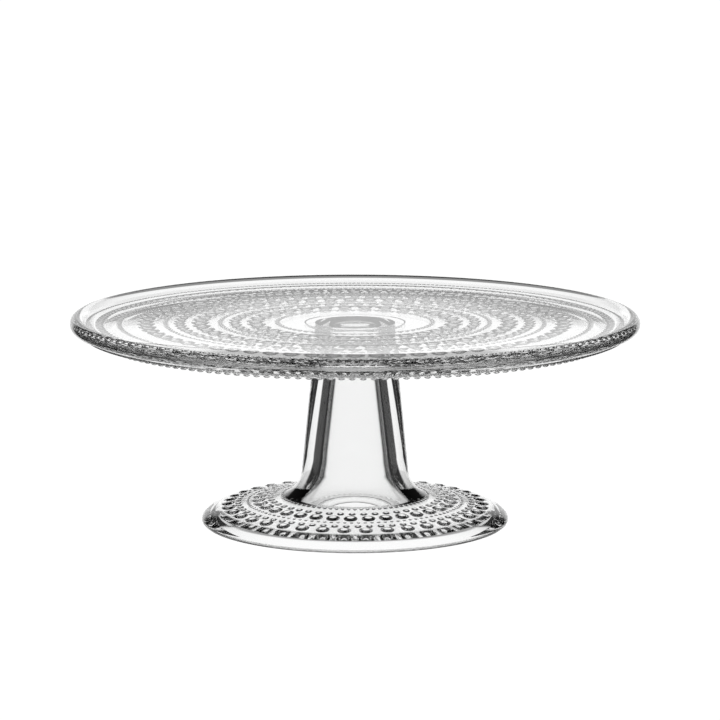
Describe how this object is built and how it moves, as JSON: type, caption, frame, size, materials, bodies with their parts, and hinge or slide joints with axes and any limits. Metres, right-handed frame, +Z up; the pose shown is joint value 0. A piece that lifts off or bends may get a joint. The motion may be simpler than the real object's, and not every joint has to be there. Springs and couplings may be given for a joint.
{
  "type": "footed cake stand",
  "caption": "Clear pressed-glass cake stand: a round plate with a low raised rim and rings of glass beads underneath, on a hollow flared pedestal.",
  "frame": {"origin": "on the table, under the centre of the foot", "axes": "+Z up along the axis of the stem; +X and +Y are free, because the stand is round"},
  "size_m": [0.3149, 0.315, 0.117],
  "materials": {
    "plate_glass": "clear fire-polished soda-lime glass",
    "pedestal_glass": "clear fire-polished soda-lime glass",
    "bond_adhesive": "clear cured adhesive"
  },
  "bodies": {
    "root": {"plate": "plate_glass", "pedestal": "pedestal_glass", "bond_film": "bond_adhesive"}
  },
  "joints": []
}
